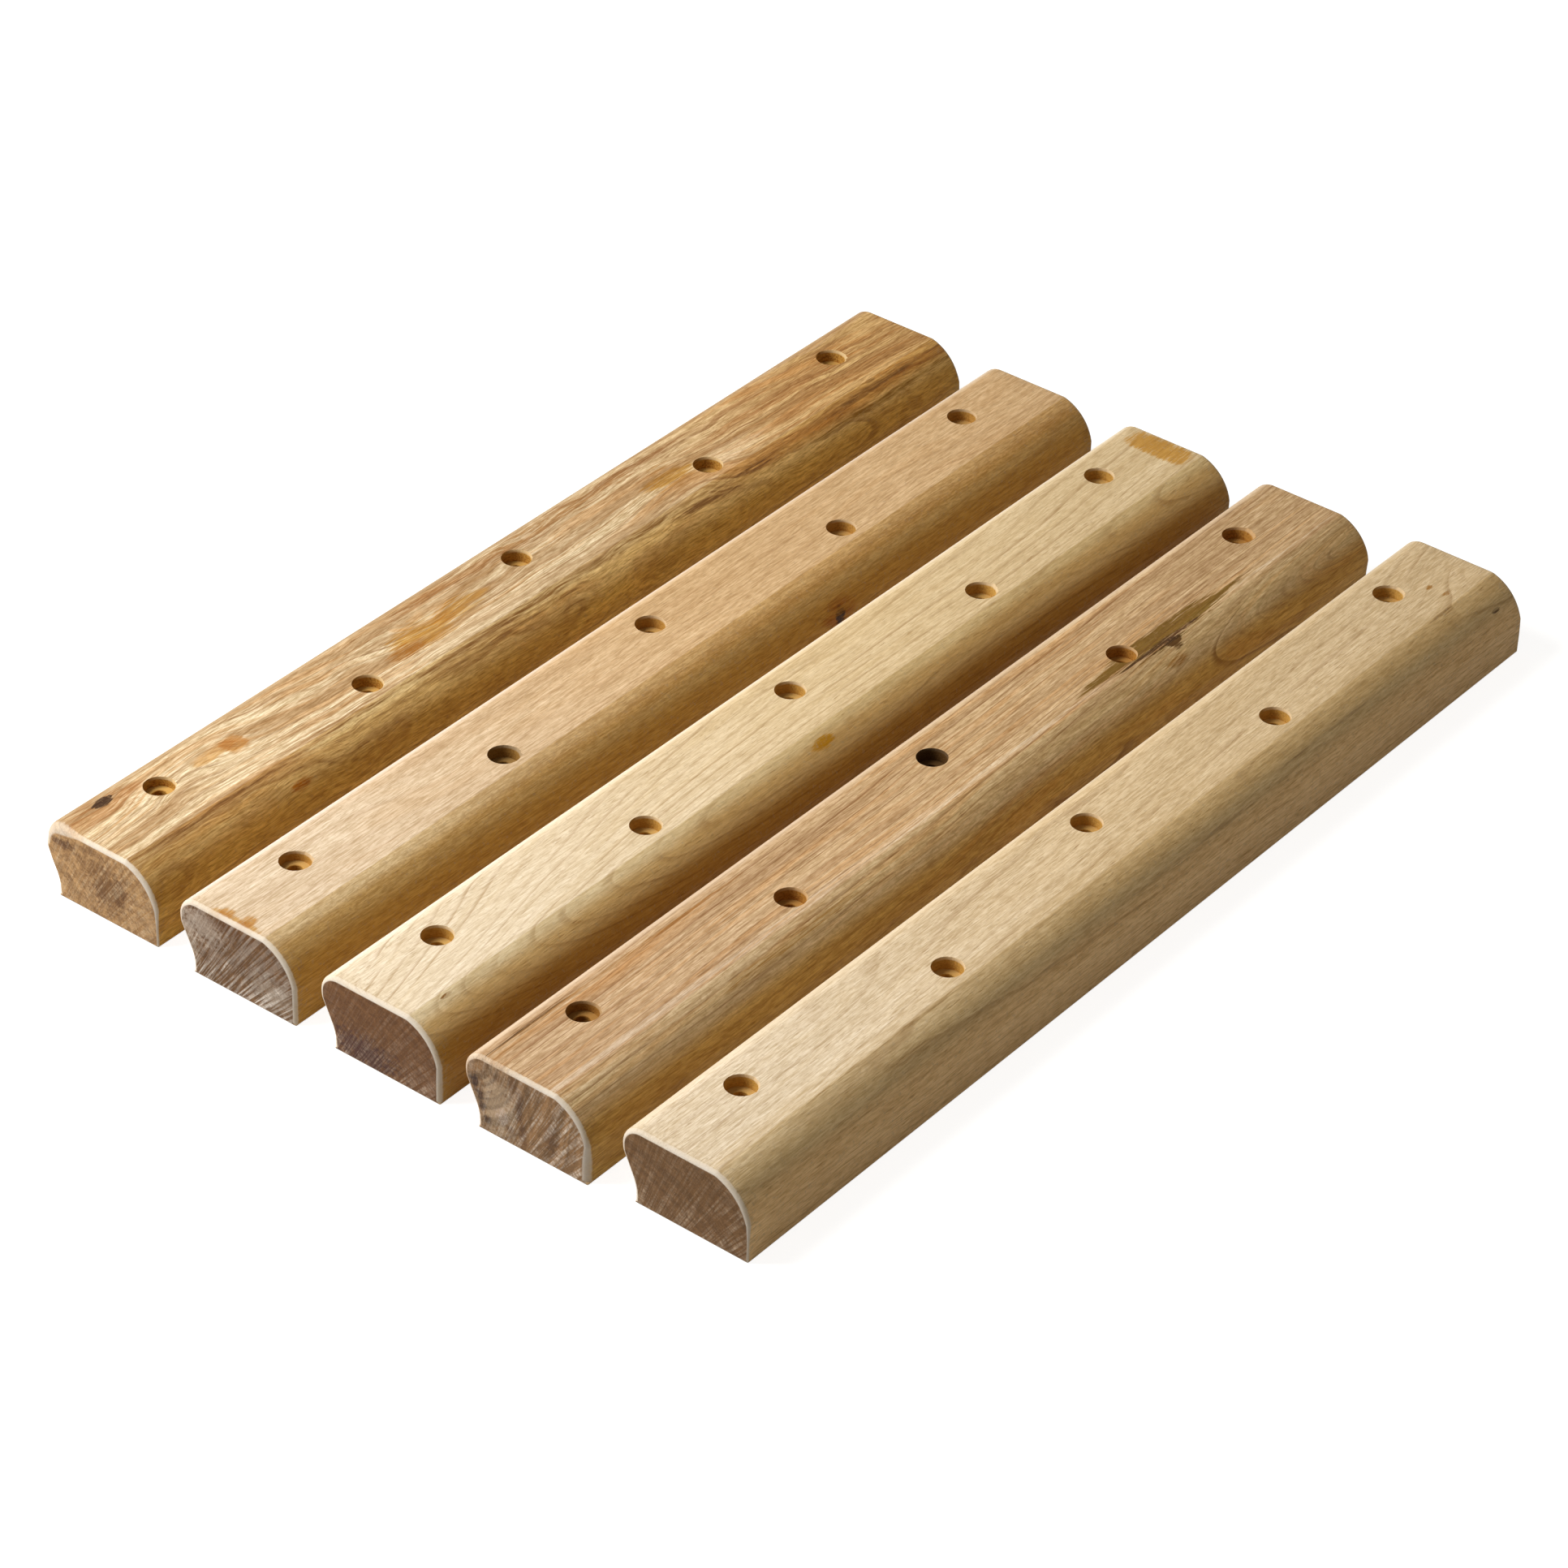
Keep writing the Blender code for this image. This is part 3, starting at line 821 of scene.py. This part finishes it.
class Graph:
    """Adds nodes to a material and returns their outputs, so that a shader reads as a list of steps."""

    def __init__(self, name):
        self.material = bpy.data.materials.new(name)
        self.material.use_nodes = True
        self.tree = self.material.node_tree
        self.shader = self.tree.nodes["Principled BSDF"]

    def set(self, socket, value):
        if isinstance(value, bpy.types.NodeSocket):
            self.tree.links.new(value, socket)
        else:
            socket.default_value = value

    def add(self, kind, values, output=0, **settings):
        node = self.tree.nodes.new("ShaderNode" + kind)
        for name, value in settings.items():
            setattr(node, name, value)
        for key, value in values.items():
            self.set(node.inputs[key], value)
        return node.outputs[output]

    def math(self, operation, *values):
        return self.add("Math", dict(enumerate(values)), operation=operation)

    def times(self, first, second):
        return self.math("MULTIPLY", first, second)

    def over(self, value, size):
        return self.math("DIVIDE", value, size)

    def fit(self, value, factor, offset):
        """A value times a factor, plus an offset."""
        return self.math("MULTIPLY_ADD", value, factor, offset)

    def at_least(self, share, least):
        """A share brought into the range from least to 1."""
        return self.fit(share, 1 - least, least)

    def reach(self, across, up):
        """How far a place is that lies so far across and so far up."""
        return self.math("SQRT", self.fit(across, across, self.times(up, up)))

    def step(self, value, low, high):
        """An even rise from 0 at low to 1 at high."""
        return self.add("MapRange", {0: value, 1: low, 2: high}, interpolation_type="SMOOTHSTEP")

    def between(self, value, rise, fall):
        """1 between a rise and a fall, each given by where it starts and where it is over."""
        return self.times(self.step(value, *rise), self.step(value, *fall))

    def vector(self, operation, *values):
        return self.add("VectorMath", dict(enumerate(values)), operation=operation)

    def dot(self, first, second):
        return self.add("VectorMath", {0: first, 1: second}, 1, operation="DOT_PRODUCT")

    def combine(self, x, y, z):
        return self.add("CombineXYZ", {0: x, 1: y, 2: z})

    def split(self, vector):
        return tuple(self.add("SeparateXYZ", {0: vector}).node.outputs)

    def scaled(self, place, scales):
        return self.vector("MULTIPLY", place, scales)

    def offset(self, place, middle, half_size):
        """How far a place is from a middle along each axis, in half sizes."""
        return self.scaled(self.vector("SUBTRACT", place, middle), tuple(1 / size for size in half_size))

    def noise(self, place, detail, roughness=0.5, output=0):
        values = {"Vector": place, "Scale": 1.0, "Detail": detail, "Roughness": roughness}
        return self.add("TexNoise", values, output)

    def texture(self, place, scales, detail, roughness):
        return self.noise(self.scaled(place, scales), detail, roughness)

    def frayed(self, place, scales, detail, roughness, amount):
        """A texture about 0, which strays by about half of amount to either side."""
        return self.fit(self.texture(place, scales, detail, roughness), amount, -amount / 2)

    def patches(self, place, scales, detail, roughness, low, high):
        return self.step(self.texture(place, scales, detail, roughness), low, high)

    def blend(self, share, first, second, how="MIX"):
        colours = [(*c, 1.0) if isinstance(c, tuple) else c for c in (first, second)]
        values = {0: share, 6: colours[0], 7: colours[1]}
        return self.add("Mix", values, 2, data_type="RGBA", blend_type=how)

    def multiply(self, colour, tint):
        return self.blend(1.0, colour, tint, "MULTIPLY")

    def shaded(self, colour, shade):
        """A colour made lighter or darker."""
        return self.multiply(colour, self.combine(shade, shade, shade))

    def place_and_facing(self):
        """Where a spot is on its piece, in mm, and how far it faces across, along and up."""
        where = self.tree.nodes.new("ShaderNodeTexCoord").outputs
        return self.scaled(where["Object"], (MILLIMETRES,) * 3), self.split(where["Normal"])

    def wired(self, colour, height, roughness, specular, bump):
        """Sets the shader's sockets and returns the finished material. bump is (strength, distance)."""
        self.set(self.shader.inputs["Base Color"], colour)
        self.set(self.shader.inputs["Roughness"], roughness)
        self.shader.inputs["Specular IOR Level"].default_value = specular
        bumped = self.add("Bump", {"Strength": bump[0], "Distance": bump[1], "Height": height})
        self.set(self.shader.inputs["Normal"], bumped)
        return self.material


def spot(graph, place, middle, half_size, frayed):
    """How far a place is from a spindle's middle: 1 at its surface. It comes to a point along the grain."""
    across, along, up = graph.split(graph.offset(place, middle, half_size))
    return graph.math("ADD", graph.fit(along, along, graph.reach(across, up)), frayed)


def blot(graph, place, middle, half_size, frayed):
    """How far a place is from a squarish stain's middle: 1 at its edge."""
    off = graph.offset(place, middle, half_size)
    squares = graph.vector("MULTIPLY", off, off)
    return graph.math("ADD", graph.dot(squares, squares), frayed)


def grown(graph, place, look):
    """Where the growing tree put each spot: (distance from the pith, turn round it, place)."""
    drift = graph.scaled(place, (1 / DRIFT_WIDTH, 1 / look.wave, 1 / DRIFT_WIDTH))
    moved = graph.vector("MULTIPLY_ADD", graph.noise(drift, *DRIFT_DETAIL, 1), (look.wander,) * 3, place)
    x, along, z = graph.split(moved)
    across, up = (
        graph.math("SUBTRACT", value, graph.fit(along, lean, pith + look.wander / 2))
        for value, pith, lean in zip((x, z), look.pith, look.lean)
    )
    radius = graph.reach(across, up)
    for middle, half_size, bulge in look.swells:
        off = graph.offset(place, middle, half_size)
        near = graph.math("EXPONENT", graph.times(graph.dot(off, off), -1.0))
        radius = graph.fit(near, bulge, radius)
    return radius, graph.math("ARCTAN2", up, across), moved


def ring_lines(graph, rings, along, around):
    """Thin dark lines where the growth rings meet the surface, each of its own strength, with gaps."""
    chance = graph.add("TexWhiteNoise", {"W": graph.math("FLOOR", rings)}, noise_dimensions="1D")
    line = graph.between(graph.math("FRACT", rings), *LINE_SPAN)
    line = graph.times(line, graph.at_least(chance, FAINTEST_LINE))
    gaps = graph.combine(rings, graph.over(along, LINE_LENGTH), graph.over(around, LINE_WIDTH))
    return graph.times(line, graph.step(graph.noise(gaps, *GAP_DETAIL), *LINE_GAPS))


def ring_streak(graph, rings, along, around, lumps, length, width, offset):
    """A texture drawn out along the growth rings."""
    drawn = (graph.times(rings, lumps), graph.fit(along, 1 / length, offset), graph.over(around, width))
    return graph.noise(graph.combine(*drawn), *STREAK_DETAIL)


def banded(graph, look, bands, warmth, narrow, across):
    """The wood's pale, deep and warm colours in bands along the rings, calmer on the shoulder."""
    calm = -look.calm_shoulder * look.band_strength
    strength = graph.fit(graph.step(across, *CALM_TURN), calm, look.band_strength)
    colour = graph.blend(graph.times(bands, strength), look.pale, look.deep)
    colour = graph.blend(graph.times(warmth, strength), colour, look.warm)
    return graph.blend(graph.times(graph.times(narrow, NARROW_SHARE), strength), colour, look.deep)


def fibred(graph, look, place, moved, colour):
    """A colour shaded by coarse, medium and fine fibres, and the height of the last two."""
    drift = graph.vector("SUBTRACT", moved, place)
    fibre = graph.vector("MULTIPLY_ADD", drift, (look.fibre_drift,) * 3, place)
    coarse, medium, fine = (graph.patches(fibre, *row) for row in (COARSE_FIBRES, MEDIUM_FIBRES, FINE_FIBRES))
    grain = graph.fit(medium, MEDIUM_SHARE, graph.times(coarse, look.long_fibres))
    grain = graph.fit(fine, FINE_SHARE, grain)
    usual = (look.long_fibres + MEDIUM_SHARE + FINE_SHARE) / 2
    shade = graph.fit(grain, look.fibre_strength, 1 - usual * look.fibre_strength)
    shade = graph.vector("POWER", graph.combine(shade, shade, shade), FIBRE_WARMTH)
    height = graph.fit(fine, FINE_HEIGHT, graph.times(medium, MEDIUM_HEIGHT))
    return graph.multiply(colour, shade), height


def face_colour(graph, look, place, tree, across):
    """The long grain: rings cut lengthwise, bands that follow them, fibres and pores."""
    radius, turn, moved = tree
    along = graph.split(moved)[1]
    around = graph.times(turn, hypot(*look.pith))
    uneven = graph.noise(graph.combine(graph.over(radius, CROWD_WIDTH), 0.0, 0.0), 1.0)
    rings = graph.fit(uneven, CROWDING, graph.over(radius, look.ring_width))
    streaks = [ring_streak(graph, rings, along, around, *row[:4]) for row in (BANDS, WARMTH, NARROW)]
    shares = (graph.step(streak, *row[4:]) for streak, row in zip(streaks, (BANDS, WARMTH, NARROW)))
    line = ring_lines(graph, rings, along, around)
    pores = graph.fit(graph.texture(moved, *PORE_CROWDS), CROWD_SHARE, graph.texture(moved, *PORES))
    pores = graph.step(pores, *PORE_EDGE)
    dark = product(look.deep, LINE_TINT)
    colour = banded(graph, look, *shares, across)
    colour = graph.blend(graph.times(line, look.ring_strength), colour, dark)
    colour, height = fibred(graph, look, place, moved, colour)
    colour = graph.blend(graph.times(pores, look.pore_strength), colour, dark)
    return colour, graph.math("SUBTRACT", height, graph.fit(line, LINE_DEPTH, pores)), streaks[2]


def flecked(graph, look, moved, across, colour):
    """The short flecks of cut rays, on the shoulder where the saw met them."""
    share = graph.times(graph.patches(moved, *FLECKS), graph.between(across, *FLECK_SPAN))
    return graph.blend(graph.times(share, look.fleck_strength), colour, look.deep)


def steeped(graph, look, mark, colour):
    """Wood that a mark's colour soaked into, with its figure still showing."""
    usual = [PALE_SHARE * pale + (1 - PALE_SHARE) * deep for pale, deep in zip(look.pale, look.deep)]
    tint = tuple(value / other for value, other in zip(mark, usual))
    return graph.blend(SOAK, mark, graph.multiply(colour, tint))


def marked(graph, look, place, streaks, colour):
    """The rung's own stains, and its knots and dark streaks, which fray along the grain."""
    fibrous = graph.times(graph.step(streaks, *STREAK_THREADS), graph.patches(place, *THREADS))
    fibrous = graph.at_least(fibrous, LEAST_FIBROUS)
    soaked = graph.at_least(fibrous, LEAST_SOAKED)
    for shapes, shape, frays, edge, held in (
        (look.stains, blot, STAIN_FRAYS, STAIN_EDGE, soaked),
        (look.marks, spot, MARK_FRAYS, MARK_EDGE, fibrous),
    ):
        frayed = graph.frayed(place, *frays)
        for middle, half_size, mark, strength in shapes:
            inside = graph.step(shape(graph, place, middle, half_size, frayed), *edge)
            share = graph.math("MINIMUM", graph.times(inside, graph.times(held, strength)), 1.0)
            colour = graph.blend(share, colour, steeped(graph, look, mark, colour))
    return colour


def long_grain(graph, look, place, facing, tree):
    """The colour and the height of a rung's long faces, with painted shade and painted light by the way they
    face, painted light and shade on the nose, painted shade towards the far end of the top, and marked.
    """
    across, _, up = facing
    colour, height, streaks = face_colour(graph, look, place, tree, across)
    colour = flecked(graph, look, tree[2], across, colour)
    # Painted shade and painted light: the shoulders and walls are tinted darker or lighter, and warmer, by
    # how far they face across, as light falls on them.
    for low, high, tint in look.painted_light_and_shade_tints:
        colour = graph.blend(graph.step(across, low, high), colour, graph.multiply(colour, tint))
    # Painted light on the nose: the nose colour is a painted highlight on rungs 2 to 5 and painted shade on
    # rung 1, put in place of the wood's colour.
    painted_nose_mask = graph.times(graph.step(across, *NOSE_ACROSS), graph.step(up, *NOSE_UP))
    colour = graph.blend(graph.times(painted_nose_mask, look.painted_nose_share), colour, look.nose)
    # Painted shade: the top is tinted, mostly darker and warmer, towards the far end, away from the lamp.
    on_top = graph.between(across, *TOP_SPAN)
    far = graph.times(graph.step(graph.split(place)[1], *look.far_painted_shade_span), on_top)
    colour = graph.blend(far, colour, graph.multiply(colour, look.far_painted_shade_tint))
    return marked(graph, look, place, streaks, colour), height


def end_rays(graph, look, place):
    """The rays of the sawn end, which fan out from the pith."""
    pith = (look.ray_pith[0], 0.0, look.ray_pith[1])
    across, _, up = graph.split(graph.vector("SUBTRACT", place, pith))
    out = graph.reach(across, up)
    around = graph.times(graph.math("ARCTAN2", up, across), hypot(*look.ray_pith))
    fans = []
    for count, length in (LONG_RAYS, SHORT_RAYS):
        fan = graph.combine(graph.times(around, count), graph.over(out, length), 0.0)
        fans.append(graph.step(graph.noise(fan, 1.0), *RAY_EDGE))
    dots = graph.noise(graph.combine(graph.times(around, DOTS_TO_A_MM), out, 0.0), 1.0)
    dotted = graph.at_least(graph.step(dots, *DOT_EDGE), 1 - look.dotted)
    both = graph.fit(fans[0], LONG_RAY_SHARE, graph.times(fans[1], SHORT_RAY_SHARE))
    return graph.times(both, dotted)


def end_ground(graph, look, place, haze):
    """The end grain between the rays: dark, with warm blotches, and its own marks."""
    blotches = graph.patches(place, *END_BLOTCHES)
    warm = graph.fit(blotches, BLOTCH_WARMTH, graph.times(haze, HAZE_WARMTH))
    colour = graph.blend(graph.times(warm, look.mottle_strength), look.end_dark, look.end_warm)
    frayed = graph.frayed(place, *END_FRAYS)
    for (across, up), (half_across, half_up), mark, strength in look.end_marks:
        middle = (across, -MILLIMETRES * LENGTH / 2, up)
        half_size = (half_across, END_MARK_DEPTH, half_up)
        inside = graph.step(spot(graph, place, middle, half_size, frayed), *END_MARK_EDGE)
        colour = graph.blend(graph.times(inside, strength), colour, mark)
    return colour


def end_colour(graph, look, place, radius):
    """The sawn end grain: pale rays over a dark ground, belts of growth rings and fine grains."""
    slope = graph.dot(place, (look.haze[0] / HAZE_SPAN, 0.0, look.haze[1] / HAZE_SPAN))
    haze = graph.step(graph.fit(graph.texture(place, *END_MOTTLE), HAZE_MOTTLE, slope), *HAZE_EDGE)
    rays = end_rays(graph, look, place)
    share = graph.times(graph.times(rays, graph.at_least(haze, LEAST_RAYS)), look.ray_strength)
    colour = graph.blend(share, end_ground(graph, look, place, haze), look.end_pale)
    belts = graph.combine(graph.over(radius, BELT_RINGS * look.ring_width), 0.0, 0.0)
    belts = graph.step(graph.noise(belts, *BELT_DETAIL), *BELT_EDGE)
    grains = graph.texture(place, *END_GRAINS)
    shade = graph.fit(belts, look.belt_strength, END_SHADE - look.belt_strength / 2)
    colour = graph.shaded(colour, graph.fit(grains, GRAIN_SHADE, shade))
    return colour, graph.math("ADD", rays, grains)


def rimmed(graph, look, place, facing_end, colour):
    """The pale rim that the sanding left round an end, scorched where it starts and lost in places."""
    scorched = graph.times(graph.between(facing_end, *SCORCH_SPAN), SCORCH_SHARE)
    colour = graph.blend(scorched, colour, product(look.warm, SCORCH_TINT))
    rim = graph.blend(graph.step(facing_end, *RIM_INNER_EDGE), RIM_COLOUR, RIM_INNER_COLOUR)
    lost = graph.times(graph.step(graph.split(place)[0], *RIM_LOST_SPAN), look.rim_lost)
    patchy = graph.fit(graph.patches(place, *RIM_PATCHES), RIM_PATCH_SHARE, RIM_SHARE)
    share = graph.math("SUBTRACT", patchy, lost)
    return graph.blend(graph.times(graph.step(facing_end, *RIM_EDGE), share), colour, rim)


def rung_wood(name, look):
    """Bare sanded hardwood with a sawn end grain and a pale sanded rim between the two."""
    graph = Graph(name)
    place, facing = graph.place_and_facing()
    tree = grown(graph, place, look)
    face, face_height = long_grain(graph, look, place, facing, tree)
    end, end_height = end_colour(graph, look, place, tree[0])
    facing_end = graph.math("ABSOLUTE", facing[1])
    frayed = graph.math("SUBTRACT", graph.texture(place, *RIM_FRAYS), 0.5)
    frayed = graph.times(frayed, graph.math("SUBTRACT", 1.0, facing_end))
    frayed = graph.fit(frayed, RIM_FRAYING, facing_end)
    on_end = graph.step(frayed, *END_EDGE)
    colour = graph.blend(on_end, rimmed(graph, look, place, frayed, face), end)
    height = graph.add("Mix", {0: on_end, 2: face_height, 3: end_height})
    roughness = graph.fit(face_height, FIBRE_SHINE, WOOD_ROUGHNESS)
    return graph.wired(colour, height, roughness, WOOD_SPECULAR, WOOD_BUMP)


def bored_wood(name, look):
    """The holes' walls and floors: cut across the grain, deeper in colour and ringed by the drill."""
    graph = Graph(name)
    place, facing = graph.place_and_facing()
    _, along, up = graph.split(place)
    fibres = graph.times(graph.texture(place, *CUT_FIBRES), CUT_SHARE)
    cut = graph.fit(graph.texture(place, *DRILL_RINGS), DRILL_SHARE, fibres)
    deep, pale = product(look.deep, BORED_TINT), product(look.pale, BORED_TINT)
    colour = graph.blend(graph.step(cut, *CUT_EDGE), deep, pale)
    on_floor = graph.step(facing[2], *FLOOR_UP)
    colour = graph.blend(on_floor, colour, product(look.pale, BORED_FLOOR_TINT))
    on_lip = graph.times(graph.step(up, *LIP_HEIGHTS), graph.step(facing[1], *LIP_ALONG))
    colour = graph.blend(on_lip, colour, product(look.pale, LIP_TINT))
    for index, amount in look.burnt:
        off = graph.math("SUBTRACT", along, MILLIMETRES * hole_places()[index][1])
        here = graph.times(graph.step(graph.math("ABSOLUTE", off), *BURNT_REACH), amount)
        colour = graph.blend(here, colour, CHARRED_COLOUR)
    return graph.wired(colour, cut, BORED_ROUGHNESS, BORED_SPECULAR, BORED_BUMP)


def make_rung(number, look):
    """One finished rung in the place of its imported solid."""
    node = f"rung_{number}"
    mesh = bar_mesh(f"{node}_wood", look, number)
    mesh.materials.append(rung_wood(f"{node}_long_grain", look))
    mesh.materials.append(bored_wood(f"{node}_bored", look))
    rung = solid_object(f"{node}_wood", mesh)
    drilled(rung, look, number)
    low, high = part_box(node)
    middle = (low + high) / 2
    rung.location = (middle.x, middle.y, low.z)
    rung.rotation_euler.z = look.turned
    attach(rung, "root")
    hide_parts(node)


def make_camera():
    """The camera at the photograph's place."""
    towards = Vector((-sin(AZIMUTH) * cos(ELEVATION), cos(AZIMUTH) * cos(ELEVATION), -sin(ELEVATION)))
    data = bpy.data.cameras.new("camera")
    data.sensor_width = SENSOR
    data.lens = LENS
    camera = solid_object("camera", data)
    camera.rotation_mode = "QUATERNION"
    camera.rotation_quaternion = towards.to_track_quat("-Z", "Y") @ Quaternion((0, 0, 1), ROLL)
    camera.location = LOOK_AT - DISTANCE * towards
    bpy.context.scene.camera = camera


def seen_share(tree):
    """1 for camera, glossy and transmission rays, which see the white ground, and 0 for the others."""
    path = tree.nodes.new("ShaderNodeLightPath")
    total = path.outputs["Is Camera Ray"]
    for name in ("Is Glossy Ray", "Is Transmission Ray"):
        most = tree.nodes.new("ShaderNodeMath")
        most.operation = "MAXIMUM"
        tree.links.new(total, most.inputs[0])
        tree.links.new(path.outputs[name], most.inputs[1])
        total = most.outputs[0]
    return total


def make_world():
    """White where it is seen, and a low even light on the object."""
    world = bpy.data.worlds.new("studio")
    bpy.context.scene.world = world
    world.use_nodes = True
    tree = world.node_tree
    background = tree.nodes["Background"]
    mix = tree.nodes.new("ShaderNodeMix")
    mix.data_type = "RGBA"
    tree.links.new(seen_share(tree), mix.inputs[0])
    mix.inputs[6].default_value = [AMBIENT * value for value in AMBIENT_COLOUR] + [1.0]
    mix.inputs[7].default_value = WHITE
    tree.links.new(mix.outputs[2], background.inputs["Color"])


def make_floor():
    """A pale ground that looks white and keeps the rungs' shadow."""
    bpy.ops.mesh.primitive_plane_add(size=FLOOR_SIZE, location=(0.0, 0.0, -FLOOR_GAP))
    floor = bpy.context.object
    floor.name = "floor"
    graph = Graph("ground")
    tree = graph.tree
    pale = graph.add("BsdfDiffuse", {"Color": (FLOOR_COLOUR,) * 3 + (1.0,)})
    glow = graph.add("Emission", {"Color": WHITE, "Strength": FLOOR_WHITE})
    both = graph.add("AddShader", {0: pale, 1: glow})
    chosen = graph.add("MixShader", {0: seen_share(tree), 1: pale, 2: both})
    tree.links.new(chosen, tree.nodes["Material Output"].inputs["Surface"])
    floor.data.materials.append(graph.material)


def make_key_light():
    """A large soft lamp over the near end."""
    data = bpy.data.lights.new("key", "AREA")
    data.shape = "SQUARE"
    data.size = KEY_SIZE
    data.energy = KEY_POWER
    data.spread = KEY_SPREAD
    lamp = solid_object("key", data)
    lamp.location = KEY_PLACE
    lamp.rotation_mode = "QUATERNION"
    lamp.rotation_quaternion = (Vector(KEY_AIM) - Vector(KEY_PLACE)).to_track_quat("-Z", "Y")


make_camera()
make_world()
make_floor()
make_key_light()
for number, look in enumerate(LOOKS, 1):
    make_rung(number, look)
bpy.context.scene.view_settings.view_transform = "Standard"
